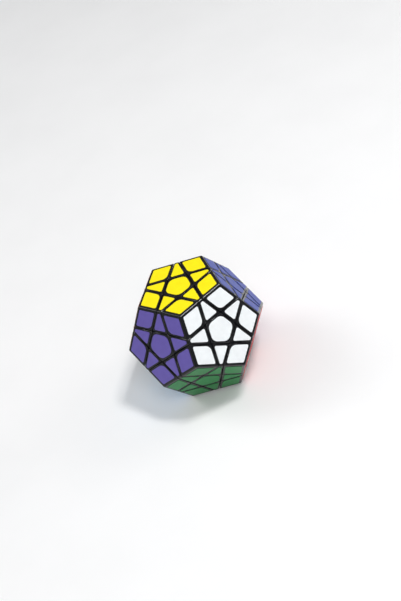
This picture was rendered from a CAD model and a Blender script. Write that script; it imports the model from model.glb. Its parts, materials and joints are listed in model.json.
"""Dodecahedron twisty puzzle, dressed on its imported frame.

Every moving piece is a gloss black moulding with rounded edges, and carries a satin
vinyl sticker on each of its outer faces. The core, screws and springs inside keep the
frame's own meshes and take finishes of their own.
"""

import json
import logging
import math
from dataclasses import dataclass, field
from enum import Enum
from functools import partial

import bmesh
import bpy
import numpy as np
from mathutils import Matrix, Vector


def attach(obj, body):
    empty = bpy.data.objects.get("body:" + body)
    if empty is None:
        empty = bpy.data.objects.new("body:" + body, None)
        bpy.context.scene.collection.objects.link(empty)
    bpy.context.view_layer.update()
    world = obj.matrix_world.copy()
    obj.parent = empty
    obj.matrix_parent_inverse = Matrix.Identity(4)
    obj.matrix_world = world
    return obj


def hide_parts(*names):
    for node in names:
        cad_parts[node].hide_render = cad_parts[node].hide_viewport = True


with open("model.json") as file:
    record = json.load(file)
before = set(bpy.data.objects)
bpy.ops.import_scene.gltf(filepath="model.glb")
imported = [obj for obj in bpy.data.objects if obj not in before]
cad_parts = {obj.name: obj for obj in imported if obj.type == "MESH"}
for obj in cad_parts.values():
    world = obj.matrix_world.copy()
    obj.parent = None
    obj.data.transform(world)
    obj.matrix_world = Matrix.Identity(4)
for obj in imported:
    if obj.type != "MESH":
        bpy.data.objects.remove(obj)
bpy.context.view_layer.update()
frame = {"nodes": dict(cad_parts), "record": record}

LOG = logging.getLogger("puzzle")
MM = 0.001
GOLDEN = (1 + math.sqrt(5)) / 2
# Degrees: the bearing of the white face, and the turn from one face of a ring to the next
FRONT = -90
RING_STEP = 72
# Number of the first face of the lower ring
LOWER_RING = 6
# Axes of faces that share a side have a dot product of 0.447, and all others less than 0
NEIGHBOUR_DOT = 0.4
# Patterns are used between these two of their values, where most of a noise lies
PATTERN_LOW = 0.3
PATTERN_HIGH = 0.7
# The least radius in millimetres that an arc is drawn with when it is moved inwards
LEAST_ROUND = 0.02
# Places are told apart to a tenth of a micron, counted in a metre
PLACES_PER_METRE = 1e7


class Face(Enum):
    """The twelve faces of the puzzle, named by the colour of their stickers."""

    YELLOW = 0
    WHITE = 1
    BLUE = 2
    LIME = 3
    ORANGE = 4
    PURPLE = 5
    RED = 6
    PINK = 7
    GREY = 8
    LIGHT_BLUE = 9
    GREEN = 10
    CREAM = 11

    @property
    def word(self) -> str:
        """The colour as it stands in the names of nodes and bodies."""
        return self.name.lower()


class Kind(Enum):
    """The three kinds of moving piece, by the number of faces that they show."""

    CENTRE = 1
    EDGE = 2
    CORNER = 3


VINYL_COLOURS: dict[Face, tuple[float, float, float]] = {
    Face.YELLOW: (1.0, 0.83, 0.0),
    Face.WHITE: (0.885, 0.92, 0.935),
    Face.BLUE: (0.010, 0.040, 0.36),
    Face.LIME: (0.33, 0.68, 0.035),
    Face.ORANGE: (0.91, 0.20, 0.012),
    Face.PURPLE: (0.138, 0.102, 0.43),
    Face.RED: (0.62, 0.011, 0.018),
    Face.PINK: (0.85, 0.27, 0.46),
    Face.GREY: (0.27, 0.29, 0.31),
    Face.LIGHT_BLUE: (0.12, 0.47, 0.80),
    Face.GREEN: (0.008, 0.21, 0.045),
    Face.CREAM: (0.85, 0.75, 0.46),
}


# ---------------------------------------------------------------- the body's geometry


@dataclass(frozen=True)
class Body:
    """Sizes of the whole body in millimetres, and the places that follow from them."""

    edge_to_edge: float = 91.0
    strip: float = 15.0
    gap: float = 0.3
    glue: float = 0.02
    vinyl: float = 0.2

    @property
    def side(self) -> float:
        """Side of a face: the distance between opposite edges over the golden ratio squared."""
        return self.edge_to_edge / GOLDEN**2

    @property
    def face_height(self) -> float:
        """Height of a face over the middle of the body."""
        return self.side * GOLDEN**2 / (2 * math.sqrt(3 - GOLDEN))

    @property
    def apothem(self) -> float:
        """Distance from the middle of a face to its sides."""
        return self.side / (2 * math.tan(math.pi / 5))

    @property
    def cut_line(self) -> float:
        """Distance from the middle of a face to the cuts across it."""
        return self.apothem - self.strip

    @property
    def middle(self) -> np.ndarray:
        """The body's middle, standing on the stickers of the bottom face."""
        return np.array([0.0, 0.0, self.face_height + self.glue + self.vinyl])

    def axis(self, face: Face) -> np.ndarray:
        """Direction of a face from the middle.

        Args:
            face: the face asked for.

        Returns:
            A unit vector. The upper ring leans atan(2) from the top at 72 degree steps
            from the front, and the lower ring leans as much from the bottom, half a step on.
        """
        lean = math.atan(2)
        n = face.value
        upper = n < LOWER_RING
        polar = lean if upper else math.pi - lean
        polar = {Face.YELLOW: 0.0, Face.CREAM: math.pi}.get(face, polar)
        steps_on = FRONT + RING_STEP * (n - 1)
        if not upper:
            steps_on = FRONT + RING_STEP // 2 + RING_STEP * (n - LOWER_RING)
        bearing = math.radians(steps_on)
        return np.array([math.sin(polar) * math.cos(bearing),
                         math.sin(polar) * math.sin(bearing), math.cos(polar)])

    def axes(self, face: Face, towards: Face) -> np.ndarray:
        """Directions to draw in on a face, as the columns x, y and z.

        Args:
            face: the face drawn on. z is its axis.
            towards: the neighbour that x points to.
        """
        z = self.axis(face)
        x = self.axis(towards)
        x = x - z * (x @ z)
        x /= np.linalg.norm(x)
        return np.stack([x, np.cross(z, x), z], axis=1)

    def place(self, points: np.ndarray, drawing: np.ndarray) -> np.ndarray:
        """Moves points drawn on a face to their places.

        Args:
            points: one point or more, in millimetres from the middle of the body.
            drawing: directions x, y and z of the face, as columns.

        Returns:
            The places, in metres.
        """
        return (points @ drawing.T + self.middle) * MM

    def near(self, a: Face, b: Face) -> bool:
        """Whether two faces share a side."""
        return a is not b and float(self.axis(a) @ self.axis(b)) > NEIGHBOUR_DOT

    def neighbours(self, face: Face) -> list[Face]:
        """The five faces round a face, in the order of their numbers."""
        return [g for g in Face if self.near(face, g)]

    def edges(self) -> list[tuple[Face, Face]]:
        """The pairs of faces that share a side."""
        return [(a, b) for a in Face for b in Face if a.value < b.value and self.near(a, b)]

    def corners(self) -> list[tuple[Face, Face, Face]]:
        """The triples of faces that share a corner, anticlockwise seen from outside."""
        found = []
        for a, b in self.edges():
            for c in Face:
                if c.value > b.value and self.near(a, c) and self.near(b, c):
                    way = float(np.cross(self.axis(a), self.axis(b)) @ self.axis(c))
                    found.append((a, b, c) if way > 0 else (a, c, b))
        return found


BODY = Body()


# --------------------------------------------------------------------------- finishes


class Shader:
    """A material under construction, with its principled shader and object coordinates."""

    def __init__(self, name: str) -> None:
        """Starts a material of that name with an empty set of patterns."""
        self.material = bpy.data.materials.new(name)
        self.material.use_nodes = True
        self.tree = self.material.node_tree
        self.surface = self.tree.nodes["Principled BSDF"]
        self.place = self.tree.nodes.new("ShaderNodeTexCoord").outputs["Object"]

    def set(self, socket: str, value: float | tuple[float, ...]) -> None:
        """Sets a value that is the same all over the surface."""
        self.surface.inputs[socket].default_value = value

    def noise(self, size: float, detail: float = 2.0, rough: float = 0.5) -> bpy.types.NodeSocket:
        """Soft mottling.

        Args:
            size: distance over which it changes, in millimetres.
            detail: octaves of finer mottling on top.
            rough: share of each finer octave.

        Returns:
            The socket with its value, about 0.5 on average.
        """
        node = self.tree.nodes.new("ShaderNodeTexNoise")
        node.inputs["Scale"].default_value = 1.0 / (size * MM)
        node.inputs["Detail"].default_value = detail
        node.inputs["Roughness"].default_value = rough
        self.tree.links.new(self.place, node.inputs["Vector"])
        return node.outputs["Fac"]

    def spread(self, value: bpy.types.NodeSocket, low: float, high: float,
               start: float = PATTERN_LOW, end: float = PATTERN_HIGH) -> bpy.types.NodeSocket:
        """Maps a pattern from start..end to low..high and holds it there beyond.

        Args:
            value: the pattern.
            low: result at the start.
            high: result at the end.
            start: value of the pattern that gives low.
            end: value of the pattern that gives high.

        Returns:
            The socket with the result.
        """
        node = self.tree.nodes.new("ShaderNodeMapRange")
        node.inputs["From Min"].default_value = start
        node.inputs["From Max"].default_value = end
        node.inputs["To Min"].default_value = low
        node.inputs["To Max"].default_value = high
        self.tree.links.new(value, node.inputs["Value"])
        return node.outputs["Result"]

    def sum(self, a: bpy.types.NodeSocket, b: bpy.types.NodeSocket,
            share: float) -> bpy.types.NodeSocket:
        """Adds a share of pattern b to pattern a.

        Args:
            a: the pattern that stays whole.
            b: the pattern that is added.
            share: how much of b is added.

        Returns:
            The socket with the sum.
        """
        node = self.tree.nodes.new("ShaderNodeMath")
        node.operation = "MULTIPLY_ADD"
        self.tree.links.new(b, node.inputs[0])
        node.inputs[1].default_value = share
        self.tree.links.new(a, node.inputs[2])
        return node.outputs[0]

    def tint(self, value: bpy.types.NodeSocket, dark: tuple[float, float, float],
             light: tuple[float, float, float]) -> None:
        """Colours the surface between two tones by a pattern.

        Args:
            value: the pattern.
            dark: colour where the pattern is low.
            light: colour where the pattern is high.
        """
        ramp = self.tree.nodes.new("ShaderNodeValToRGB")
        ramp.color_ramp.elements[0].position = PATTERN_LOW
        ramp.color_ramp.elements[0].color = (*dark, 1.0)
        ramp.color_ramp.elements[1].position = PATTERN_HIGH
        ramp.color_ramp.elements[1].color = (*light, 1.0)
        self.tree.links.new(value, ramp.inputs["Fac"])
        self.tree.links.new(ramp.outputs["Color"], self.surface.inputs["Base Color"])

    def drive(self, socket: str, value: bpy.types.NodeSocket) -> None:
        """Lets a pattern set one of the shader's sockets."""
        self.tree.links.new(value, self.surface.inputs[socket])

    def relief(self, value: bpy.types.NodeSocket, depth: float) -> None:
        """Raises the surface by a pattern, by up to depth in millimetres."""
        bump = self.tree.nodes.new("ShaderNodeBump")
        bump.inputs["Strength"].default_value = 1.0
        bump.inputs["Distance"].default_value = depth * MM
        self.tree.links.new(value, bump.inputs["Height"])
        self.tree.links.new(bump.outputs["Normal"], self.surface.inputs["Normal"])


@dataclass(frozen=True)
class GlossMoulding:
    """Black plastic from a polished mould: glossy, with slight sink marks and flow mottling."""

    name: str = "black_gloss_plastic"
    tone: tuple[float, float, float] = (0.0035, 0.0038, 0.0055)
    darker: float = 0.72
    lighter: float = 1.35

    def make(self) -> bpy.types.Material:
        """Builds the material."""
        s = Shader(self.name)
        flow = s.noise(size=9.0, detail=3.0)
        grain = s.noise(size=0.35, detail=2.0, rough=0.6)
        s.tint(flow, dark=tuple(self.darker * c for c in self.tone),
               light=tuple(self.lighter * c for c in self.tone))
        gloss = s.spread(flow, low=0.17, high=0.24)
        s.drive("Roughness", s.sum(gloss, s.spread(grain, low=-0.5, high=0.5), share=0.06))
        sinks = s.noise(size=4.5, detail=1.0)
        s.relief(s.sum(sinks, grain, share=0.05), depth=0.012)
        s.set("IOR", 1.5)
        return s.material


@dataclass(frozen=True)
class Vinyl:
    """Printed satin vinyl: even colour with faint ink mottling, and a fine peel in its gloss."""

    face: Face
    darker: float = 0.955
    lighter: float = 1.03

    def make(self) -> bpy.types.Material:
        """Builds the material."""
        s = Shader(f"{self.face.word}_vinyl")
        tone = VINYL_COLOURS[self.face]
        mottle = s.noise(size=5.0, detail=4.0, rough=0.6)
        peel = s.noise(size=0.7, detail=2.0)
        s.tint(mottle, dark=tuple(self.darker * c for c in tone),
               light=tuple(min(1.0, self.lighter * c) for c in tone))
        satin = s.spread(mottle, low=0.36, high=0.43)
        s.drive("Roughness", s.sum(satin, s.spread(peel, low=-0.5, high=0.5), share=0.08))
        waves = s.noise(size=6.0, detail=1.0)
        s.relief(s.sum(waves, peel, share=0.08), depth=0.01)
        s.set("IOR", 1.46)
        return s.material


@dataclass(frozen=True)
class CoreMoulding:
    """Natural grey-white plastic of the core, slightly cloudy."""

    name: str = "core_moulding"

    def make(self) -> bpy.types.Material:
        """Builds the material."""
        s = Shader(self.name)
        cloud = s.noise(size=3.0, detail=3.0)
        s.tint(cloud, dark=(0.60, 0.60, 0.56), light=(0.70, 0.70, 0.66))
        s.drive("Roughness", s.spread(cloud, low=0.36, high=0.48))
        s.relief(s.noise(size=0.5, detail=2.0), depth=0.01)
        return s.material


@dataclass(frozen=True)
class Steel:
    """Plated or drawn steel with fine marks from the tool that made it.

    Attributes:
        name: what the material is called.
        tone: its colour at the brightest.
        low: roughness between the marks.
        high: roughness in the marks.
        darker: share of the tone that is left where the steel is dullest.
    """

    name: str
    tone: tuple[float, float, float]
    low: float
    high: float
    darker: float = 0.9

    def make(self) -> bpy.types.Material:
        """Builds the material."""
        s = Shader(self.name)
        marks = s.noise(size=0.25, detail=3.0, rough=0.65)
        s.tint(s.noise(size=1.5, detail=2.0), dark=tuple(self.darker * c for c in self.tone),
               light=self.tone)
        s.drive("Roughness", s.spread(marks, self.low, self.high))
        s.relief(marks, depth=0.004)
        s.set("Metallic", 1.0)
        return s.material


@dataclass(frozen=True)
class PaleFloor:
    """Plain pale paper under the puzzle."""

    name: str = "pale_paper"

    def make(self) -> bpy.types.Material:
        """Builds the material."""
        s = Shader(self.name)
        s.tint(s.noise(size=60.0, detail=3.0), dark=(0.925, 0.925, 0.925), light=(0.95, 0.95, 0.95))
        s.set("Roughness", 0.9)
        s.relief(s.noise(size=0.8, detail=3.0), depth=0.02)
        return s.material


# ------------------------------------------------------------------- meshes from arrays


def closed_stack(rings: np.ndarray, first: np.ndarray, last: np.ndarray) -> bpy.types.Mesh:
    """Skins a stack of equal rings and closes both ends at a point.

    Each ring is joined to the next by one quad for each step round it, and each end
    is a fan of triangles to its point. Rings run anticlockwise seen from the last end.

    Args:
        rings: places, as [ring, step, xyz] in metres.
        first: the point that closes the first ring.
        last: the point that closes the last ring.

    Returns:
        The mesh, with its faces outwards.
    """
    levels, steps, _ = rings.shape
    places = np.concatenate([rings.reshape(-1, 3), first[None], last[None]])
    start, end = levels * steps, levels * steps + 1
    here = np.arange(steps)
    after = (here + 1) % steps
    row = (np.arange(levels - 1) * steps)[:, None]
    quads = np.stack([row + here, row + after, row + steps + after, row + steps + here], axis=-1)
    under = np.stack([after, here, np.full(steps, start)], axis=-1)
    top = (levels - 1) * steps
    over = np.stack([top + here, top + after, np.full(steps, end)], axis=-1)
    mesh = bpy.data.meshes.new("stack")
    skin = quads.reshape(-1, 4).tolist() + under.tolist() + over.tolist()
    mesh.from_pydata(places.tolist(), [], skin)
    mesh.update()
    return mesh


def crossings(bearings: np.ndarray, distances: np.ndarray) -> np.ndarray:
    """Where each line of a closed outline crosses the next.

    A line faces a bearing at a distance from the origin. Two such lines cross at the
    point whose reach along each bearing is that line's distance, which Cramer's rule gives.

    Args:
        bearings: radians, anticlockwise.
        distances: one for each line.

    Returns:
        One [x, y] for each line and the next.
    """
    a, p = bearings, distances
    b, q = np.roll(a, -1), np.roll(p, -1)
    d = np.sin(b - a)
    x = (p * np.sin(b) - q * np.sin(a)) / d
    y = (q * np.cos(a) - p * np.cos(b)) / d
    return np.stack([x, y], axis=1)


def rounded_outline(bearings: np.ndarray, distances: np.ndarray, radii: np.ndarray,
                    inset: float, steps: int) -> np.ndarray:
    """A closed outline of straight sides with round corners, moved inwards by inset.

    Each corner is an arc about the crossing of its two sides moved in by its radius.
    An inset lowers every distance and every radius, so the arcs keep their middles.

    Args:
        bearings: direction that each side faces, in degrees.
        distances: distance of each side from the origin.
        radii: radius of the corner after each side.
        inset: distance inwards.
        steps: steps in each arc.

    Returns:
        Points as [point, xy].
    """
    a = np.radians(bearings)
    turn = np.mod(np.roll(a, -1) - a, 2 * np.pi)
    middles = np.stack([crossings(a, distances - r)[k] for k, r in enumerate(radii)])
    share = np.linspace(0.0, 1.0, steps + 1)
    angle = a[:, None] + turn[:, None] * share
    around = np.stack([np.cos(angle), np.sin(angle)], axis=-1)
    reach = np.maximum(radii - inset, LEAST_ROUND)[:, None, None]
    return (middles[:, None] + reach * around).reshape(-1, 2)


# ------------------------------------------------------------------------- the stickers


@dataclass(frozen=True)
class Rim:
    """How a sticker's rim climbs from its glue to its top, in millimetres.

    Attributes:
        roll: radius of the rolled upper edge.
        lift: height of the underside over the plastic.
        tuck: how far the underside stays behind the rim.
        foot: height at which the rim reaches its full outline.
        terraces: insets of the last rings, on the flat top.
        climb: points in the quarter circle of the roll.
        arc_steps: steps in each round corner of the outline.
    """

    roll: float = 0.07
    lift: float = 0.004
    tuck: float = 0.05
    foot: float = 0.05
    terraces: tuple[float, ...] = (0.22, 0.6)
    climb: int = 5
    arc_steps: int = 9

    def rings(self, thick: float) -> list[tuple[float, float]]:
        """The inset and the height of each ring, from the underside to the top.

        Args:
            thick: height of the sticker's top over the plastic.
        """
        quarter = np.linspace(0.0, np.pi / 2, self.climb)
        inset = np.concatenate([[self.tuck, 0.0], self.roll * (1 - np.cos(quarter)), self.terraces])
        height = np.concatenate([[self.lift, self.foot],
                                 thick - self.roll + self.roll * np.sin(quarter),
                                 [thick] * len(self.terraces)])
        return list(zip(inset, height))


@dataclass(frozen=True)
class StickerShape:
    """Outline of one kind of sticker on a face, in millimetres.

    Bearings count from the neighbour that the piece lies towards.
    """

    bearings: tuple[float, ...]
    distances: tuple[float, ...]
    radii: tuple[float, ...]
    rim: Rim = field(default_factory=Rim)

    def ring(self, inset: float, height: float) -> np.ndarray:
        """The outline moved inwards by inset, at a height over the middle of the body."""
        flat = rounded_outline(np.array(self.bearings), np.array(self.distances),
                               np.array(self.radii), inset, self.rim.arc_steps)
        return np.concatenate([flat, np.full((len(flat), 1), height)], axis=1)

    def mesh(self, body: Body, drawing: np.ndarray) -> bpy.types.Mesh:
        """Builds the sticker: a flat sheet whose upper rim is rolled over.

        Rings of the outline climb the rim by a quarter circle, then step inwards
        over the flat top, so that its shading stays flat.

        Args:
            body: the body's sizes.
            drawing: directions x, y and z of the face, as columns.

        Returns:
            The mesh in place, in metres.
        """
        thick = body.glue + body.vinyl
        rings = np.stack([self.ring(inset, body.face_height + up)
                          for inset, up in self.rim.rings(thick)])
        centre = rings[-1].mean(axis=0)
        under = np.array([centre[0], centre[1], body.face_height + self.rim.lift])
        stack = (body.place(part, drawing) for part in (rings, under, centre))
        return closed_stack(*stack)


@dataclass(frozen=True)
class StickerSizes:
    """Margins and corner radii of the stickers, in millimetres."""

    centre_inset: float = 1.25
    long_inset: float = 1.15
    base_inset: float = 1.7
    corner_inset: float = 1.55
    side_inset: float = 1.8
    tip_inset: float = 1.6
    centre_round: float = 4.5
    inner_round: float = 4.4
    outer_round: float = 0.9
    edge_round: float = 0.9

    def shape(self, body: Body, kind: Kind) -> StickerShape:
        """The outline for one kind of piece."""
        if kind is Kind.CENTRE:
            sides = 5
            return StickerShape(tuple(float(RING_STEP) * k for k in range(sides)),
                                (body.cut_line - self.centre_inset,) * sides,
                                (self.centre_round,) * sides)
        if kind is Kind.EDGE:
            long = body.cut_line - self.long_inset
            return StickerShape(
                (0, 72, 180, 288),
                (body.apothem - self.tip_inset, long, -body.cut_line - self.base_inset, long),
                (self.edge_round,) * 4)
        side = body.apothem - self.side_inset
        cut = -body.cut_line - self.corner_inset
        plain = self.outer_round
        return StickerShape((0, 72, 180, 252), (side, side, cut, cut),
                            (plain, plain, self.inner_round, plain))


# --------------------------------------------------------------------- the moving pieces


@dataclass(frozen=True)
class Rounding:
    """How the edges of a moulding are rounded.

    Attributes:
        outer: radius between two outer faces, in millimetres.
        cut: radius between an outer face and a cut, in millimetres.
        steps: steps in the round.
        flat: angle in degrees up to which neighbouring triangles make one flat area.
        rounded: angle in degrees from which an edge is rounded.
        crisp: angle in degrees from which an edge stays sharp in the shading.
        alignment: least dot product of an outer face's normal with its axis.
        off_level: distance in metres that an outer face may lie off its level.
    """

    outer: float = 0.75
    cut: float = 0.5
    steps: int = 3
    flat: float = 0.2
    rounded: float = 20.0
    crisp: float = 28.0
    alignment: float = 0.999
    off_level: float = 5e-6


class Shells:
    """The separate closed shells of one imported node, read once."""

    def __init__(self, node: bpy.types.Object) -> None:
        """Merges a copy of the node's mesh and tells its shells apart.

        Two corners of faces belong together when they share a place to a tenth of a
        micron. Shells are then grown by passing the lowest number along the edges
        until nothing changes. A shell's volume is the sum of the signed tetrahedra
        between its triangles and the origin, so that a hollow counts below nought.

        Args:
            node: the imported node.
        """
        source = node.data
        places = np.empty(len(source.vertices) * 3)
        source.vertices.foreach_get("co", places)
        corners = np.empty(len(source.loops), dtype=np.int64)
        source.loops.foreach_get("vertex_index", corners)
        cells = np.round(places.reshape(-1, 3) * PLACES_PER_METRE).astype(np.int64)
        keys, lookup = np.unique(cells, axis=0, return_inverse=True)
        lookup = lookup.reshape(-1)
        self.places = np.zeros((len(keys), 3))
        self.places[lookup] = places.reshape(-1, 3)
        faces = lookup[corners].reshape(-1, 3)
        self.faces = faces[(faces != np.roll(faces, -1, axis=1)).all(axis=1)]
        shell = np.arange(len(keys))
        while True:
            lowest = shell[self.faces].min(axis=1)
            grown = shell.copy()
            np.minimum.at(grown, self.faces.reshape(-1), np.repeat(lowest, 3))
            grown = grown[grown]
            if np.array_equal(grown, shell):
                break
            shell = grown
        self.shell_of_face = shell[self.faces[:, 0]]

    def outer(self, least: float = 100.0) -> list[np.ndarray]:
        """Faces of each outward shell of at least so many cubic millimetres."""
        found = []
        for number in np.unique(self.shell_of_face):
            faces = self.faces[self.shell_of_face == number]
            a, b, c = (self.places[faces[:, k]] / MM for k in range(3))
            six_volumes = np.einsum("ij,ij->i", a, np.cross(b, c))
            if float(six_volumes.sum()) / 6 > least:
                found.append(faces)
        return found

    def middle(self, faces: np.ndarray) -> np.ndarray:
        """Middle of the box round some faces, in metres."""
        used = self.places[np.unique(faces)]
        return (used.min(axis=0) + used.max(axis=0)) / 2

    def mesh(self, faces: np.ndarray) -> bpy.types.Mesh:
        """A mesh of some of the faces, on the merged places they use."""
        used, numbers = np.unique(faces, return_inverse=True)
        mesh = bpy.data.meshes.new("shell")
        mesh.from_pydata(self.places[used].tolist(), [], numbers.reshape(-1, 3).tolist())
        mesh.update()
        return mesh


@dataclass
class Moulding:
    """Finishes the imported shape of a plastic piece: real rounded edges on its head."""

    body: Body
    rounding: Rounding = field(default_factory=Rounding)

    def on_level(self, face: bmesh.types.BMFace, axis: Vector) -> bool:
        """Whether a flat area lies on an outer face of the body.

        Args:
            face: the flat area.
            axis: the axis of the outer face.
        """
        height = (face.calc_center_median() - Vector(self.body.middle * MM)).dot(axis)
        near = abs(height - self.body.face_height * MM) < self.rounding.off_level
        return near and face.normal.dot(axis) > self.rounding.alignment

    def finish(self, piece: bpy.types.Object, faces_shown: tuple[Face, ...]) -> None:
        """Rounds the edges of the head and shades the necks smooth.

        Flat areas are first freed of their triangles. An edge is rounded when one of
        its two faces lies on an outer face of the body, so that an edge between two
        outer faces gets the full radius and an edge down a cut gets the smaller one.

        Args:
            piece: the object, whose mesh is one or more closed shells.
            faces_shown: the outer faces that the piece has a share of.
        """
        sizes = self.rounding
        shape = bmesh.new()
        shape.from_mesh(piece.data)
        bmesh.ops.dissolve_limit(shape, angle_limit=math.radians(sizes.flat), verts=shape.verts,
                                 edges=shape.edges, delimit=set())
        axes = [Vector(self.body.axis(f)) for f in faces_shown]
        outer = {face for face in shape.faces if any(self.on_level(face, n) for n in axes)}
        weight = shape.edges.layers.float.new("bevel_weight_edge")
        small = sizes.cut / sizes.outer
        for edge in shape.edges:
            count = sum(f in outer for f in edge.link_faces)
            bend = edge.calc_face_angle(0.0) if len(edge.link_faces) == 2 else 0.0
            edge.smooth = bend <= math.radians(sizes.crisp)
            if count and bend > math.radians(sizes.rounded):
                edge[weight] = 1.0 if count == 2 else small
        for face in shape.faces:
            face.smooth = True
        shape.to_mesh(piece.data)
        shape.free()
        bevel = piece.modifiers.new("Rounded edges", "BEVEL")
        bevel.limit_method = "WEIGHT"
        bevel.width = sizes.outer * MM
        bevel.segments = sizes.steps
        bevel.harden_normals = True
        bevel.use_clamp_overlap = True
        bevel.miter_outer = "MITER_SHARP"


@dataclass
class Cubie:
    """One moving piece of the puzzle: its moulding, and a sticker for each face it shows.

    Attributes:
        kind: centre, edge or corner.
        faces: the faces it shows.
        node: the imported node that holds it.
        rides_on: the body that it turns with.
    """

    kind: Kind
    faces: tuple[Face, ...]
    node: str
    rides_on: str

    @property
    def word(self) -> str:
        """The piece's name, from its faces and kind."""
        return "_".join(f.word for f in self.faces) + "_" + self.kind.name.lower()

    def outward(self, body: Body) -> np.ndarray:
        """Direction of the piece from the middle of the body."""
        way = sum(body.axis(f) for f in self.faces)
        return way / np.linalg.norm(way)

    def towards(self, face: Face, body: Body) -> Face:
        """The neighbour that this piece's sticker on a face is drawn towards."""
        if self.kind is Kind.CENTRE:
            return body.neighbours(face)[0]
        return self.faces[(self.faces.index(face) + 1) % len(self.faces)]


@dataclass
class Puzzle:
    """The whole puzzle: every moving piece, and the core with its screws and springs."""

    body: Body = field(default_factory=Body)
    stickers: StickerSizes = field(default_factory=StickerSizes)
    pieces: list[Cubie] = field(default_factory=list)

    def cubies(self) -> list[Cubie]:
        """Every moving piece, with its node and body.

        A corner of the bottom face shares its node with the edge above it, and that
        edge is the one between the corner's two other faces.
        """
        behaviour = frame["record"]["behaviour"]
        home = {n: b for b, nodes in behaviour["bodies"].items() for n in nodes}
        found = []
        for face in Face:
            name = f"{face.word}_centre"
            found.append(Cubie(Kind.CENTRE, (face,), name, home[name]))
        for pair in self.body.edges():
            name = f"{pair[0].word}_{pair[1].word}_edge"
            found.append(Cubie(Kind.EDGE, pair, name, home[name]))
        for three in self.body.corners():
            name = "_".join(f.word for f in three) + "_corner"
            if Face.CREAM in three:
                a, b = sorted((f for f in three if f is not Face.CREAM), key=lambda f: f.value)
                name = f"{a.word}_{b.word}_edge"
            found.append(Cubie(Kind.CORNER, three, name, home[name]))
        return found

    def add(self, name: str, mesh: bpy.types.Mesh, finish: bpy.types.Material,
            body: str, slot: str) -> bpy.types.Object:
        """Puts a piece in the scene with its finish, on its body.

        Args:
            name: name of the piece and its mesh.
            mesh: its shape, in metres.
            finish: its material.
            body: the moving body that it rides on.
            slot: the material slot that the library knows it by.

        Returns:
            The new object.
        """
        mesh.name = name
        mesh.materials.append(finish)
        piece = bpy.data.objects.new(name, mesh)
        bpy.context.scene.collection.objects.link(piece)
        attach(piece, body)
        return piece

    def height_along(self, shells: Shells, way: np.ndarray, faces: np.ndarray) -> float:
        """Mean distance of some faces from the middle of the body, along a direction."""
        places = shells.places[np.unique(faces)] / MM - self.body.middle
        return float(places.dot(way).mean())

    def make_mouldings(self, cubie: Cubie, shells: Shells, plastic: bpy.types.Material) -> int:
        """Builds a cubie's moulding, and the cap of a centre as a piece of its own.

        A node may hold more than one cubie. A shell belongs to this one when its
        middle lies nearer to this cubie's direction than to any other's in the node.

        Args:
            cubie: the piece to build.
            shells: the shells of its node.
            plastic: the finish of the moulding.

        Returns:
            The number of pieces made.
        """
        rivals = [c for c in self.pieces if c.node == cubie.node]
        ways = np.stack([c.outward(self.body) for c in rivals])
        mine = [c.word for c in rivals].index(cubie.word)
        own = []
        for faces in shells.outer():
            way = shells.middle(faces) / MM - self.body.middle
            if int(np.argmax(ways @ (way / np.linalg.norm(way)))) == mine:
                own.append(faces)
        own.sort(key=partial(self.height_along, shells, cubie.outward(self.body)))
        moulding = Moulding(self.body)
        for faces, part in zip(own, ("piece", "cap")):
            piece = self.add(f"{cubie.word}_{part}", shells.mesh(faces), plastic,
                             cubie.rides_on, "black_plastic")
            moulding.finish(piece, cubie.faces)
            if part == "piece":
                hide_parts(cubie.node)
        return len(own)

    def make_stickers(self, cubie: Cubie, vinyls: dict[Face, bpy.types.Material]) -> int:
        """Builds the stickers of a cubie, one on each of its faces.

        Args:
            cubie: the piece that carries them.
            vinyls: the finish for each face.

        Returns:
            The number of stickers made.
        """
        shape = self.stickers.shape(self.body, cubie.kind)
        for face in cubie.faces:
            drawing = self.body.axes(face, cubie.towards(face, self.body))
            mesh = shape.mesh(self.body, drawing)
            mesh.polygons.foreach_set("use_smooth", [True] * len(mesh.polygons))
            self.add(f"{cubie.word}_{face.word}_sticker", mesh, vinyls[face],
                     cubie.rides_on, f"{face.word}_vinyl")
        return len(cubie.faces)

    def dress_inside(self) -> None:
        """Gives the core, the screws with their washers, and the springs their finishes."""
        plated = Steel("plated_screw_steel", (0.60, 0.61, 0.63), low=0.22, high=0.34)
        drawn = Steel("drawn_spring_steel", (0.50, 0.51, 0.53), low=0.26, high=0.40)
        finishes = {"core": CoreMoulding(), "screws_and_washers": plated, "springs": drawn}
        for name, finish in finishes.items():
            node = frame["nodes"][name]
            for slot in node.material_slots:
                slot.link = "OBJECT"
                slot.material = finish.make()
            LOG.info("%s dressed as %s", name, finish.name)

    def build(self) -> None:
        """Builds every piece of the puzzle, node by node."""
        plastic = GlossMoulding().make()
        vinyls = {face: Vinyl(face).make() for face in Face}
        shells: dict[str, Shells] = {}
        self.pieces = self.cubies()
        for cubie in self.pieces:
            if cubie.node not in shells:
                shells[cubie.node] = Shells(frame["nodes"][cubie.node])
            mouldings = self.make_mouldings(cubie, shells[cubie.node], plastic)
            stickers = self.make_stickers(cubie, vinyls)
            LOG.info("%s: %d moulding(s), %d sticker(s)", cubie.word, mouldings, stickers)
        self.dress_inside()


# ---------------------------------------------------------------------------- the studio


@dataclass(frozen=True)
class SoftBox:
    """A square studio light that points at the puzzle. Sizes are in metres and watts."""

    name: str
    place: tuple[float, float, float]
    side: float
    power: float

    def hang(self, target: Vector) -> None:
        """Adds the light, turned to the target."""
        lamp = bpy.data.lights.new(self.name, "AREA")
        lamp.shape = "SQUARE"
        lamp.size = self.side
        lamp.energy = self.power
        holder = bpy.data.objects.new(self.name, lamp)
        holder.location = self.place
        way = target - Vector(self.place)
        holder.rotation_euler = way.to_track_quat("-Z", "Y").to_euler()
        bpy.context.scene.collection.objects.link(holder)


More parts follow.
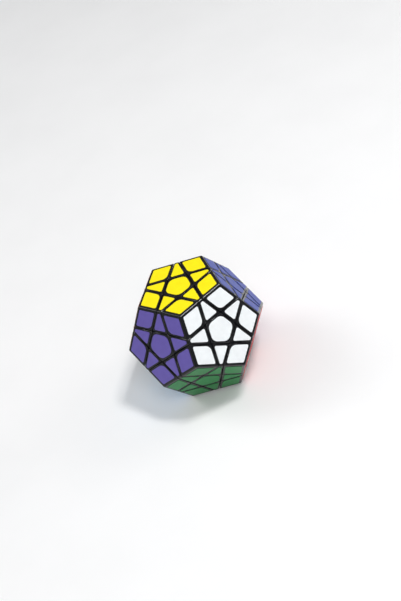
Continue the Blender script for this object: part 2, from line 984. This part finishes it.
@dataclass(frozen=True)
class Camera:
    """The view of the puzzle: where the lens stands, and its right and upward directions."""

    place: tuple[float, float, float] = (-0.259165, -0.62969, 0.635769)
    right: tuple[float, float, float] = (0.7334445, -0.6030756, -0.3136224)
    up: tuple[float, float, float] = (0.6099494, 0.3802471, 0.695251)
    lens: float = 121.14
    sensor: float = 36.0
    nearest: float = 0.01
    furthest: float = 50.0

    def set_up(self) -> None:
        """Adds the camera and looks through it."""
        data = bpy.data.cameras.new("view")
        data.sensor_fit = "HORIZONTAL"
        data.sensor_width = self.sensor
        data.lens = self.lens
        data.clip_start = self.nearest
        data.clip_end = self.furthest
        data.dof.use_dof = False
        camera = bpy.data.objects.new("view", data)
        right, up = Vector(self.right).normalized(), Vector(self.up)
        up = (up - right * up.dot(right)).normalized()
        turned = Matrix((right, up, right.cross(up))).transposed().to_4x4()
        turned.translation = Vector(self.place)
        camera.matrix_world = turned
        bpy.context.scene.collection.objects.link(camera)
        bpy.context.scene.camera = camera


@dataclass(frozen=True)
class Studio:
    """Pale floor, soft lights and a pale surrounding. Lengths are in metres."""

    floor_reach: float = 6.0
    floor_squares: int = 8
    floor_height: float = -0.00002
    surround: tuple[float, float, float] = (0.86, 0.87, 0.89)
    surround_strength: float = 0.30
    target: tuple[float, float, float] = (0.0, 0.0, 0.04)
    lights: tuple[SoftBox, ...] = (
        SoftBox("key", (-0.25, -0.75, 1.05), side=0.6, power=4.6),
        SoftBox("ridge", (0.37, -0.38, 1.15), side=0.2, power=6.6),
        SoftBox("fill", (1.0, -0.35, 0.75), side=0.5, power=2.2),
        SoftBox("back", (-0.6, 0.95, 1.0), side=0.6, power=5.5),
    )

    def lay_floor(self) -> None:
        """Lays the floor as a grid of squares just under the puzzle's lowest stickers."""
        lines = self.floor_squares + 1
        across = np.linspace(-self.floor_reach, self.floor_reach, lines)
        x, y = np.meshgrid(across, across, indexing="ij")
        places = np.stack([x, y, np.full_like(x, self.floor_height)], axis=-1).reshape(-1, 3)
        count = np.arange(self.floor_squares)
        low = (count[:, None] * lines + count).reshape(-1)
        quads = np.stack([low, low + lines, low + lines + 1, low + 1], axis=-1)
        mesh = bpy.data.meshes.new("floor")
        mesh.from_pydata(places.tolist(), [], quads.tolist())
        mesh.materials.append(PaleFloor().make())
        floor = bpy.data.objects.new("floor", mesh)
        bpy.context.scene.collection.objects.link(floor)

    def light(self) -> None:
        """Hangs the lights and sets the surroundings."""
        for box in self.lights:
            box.hang(Vector(self.target))
        world = bpy.data.worlds.new("surround")
        world.use_nodes = True
        back = world.node_tree.nodes["Background"]
        back.inputs["Color"].default_value = (*self.surround, 1.0)
        back.inputs["Strength"].default_value = self.surround_strength
        bpy.context.scene.world = world
        view = bpy.context.scene.view_settings
        view.view_transform = "Standard"
        view.look = "None"

    def set_up(self) -> None:
        """Sets up the floor, the lights and the camera."""
        self.lay_floor()
        self.light()
        Camera().set_up()


def plain(box: tuple[Vector, Vector]) -> list[list[float]]:
    """The two corners of a box as lists of plain numbers."""
    return [[float(v) for v in corner] for corner in box]


def main() -> None:
    """Builds the puzzle and the studio round it."""
    logging.basicConfig(level=logging.INFO, format="%(name)s: %(message)s")
    Puzzle(BODY).build()
    Studio().set_up()


if __name__ == "__main__":
    main()
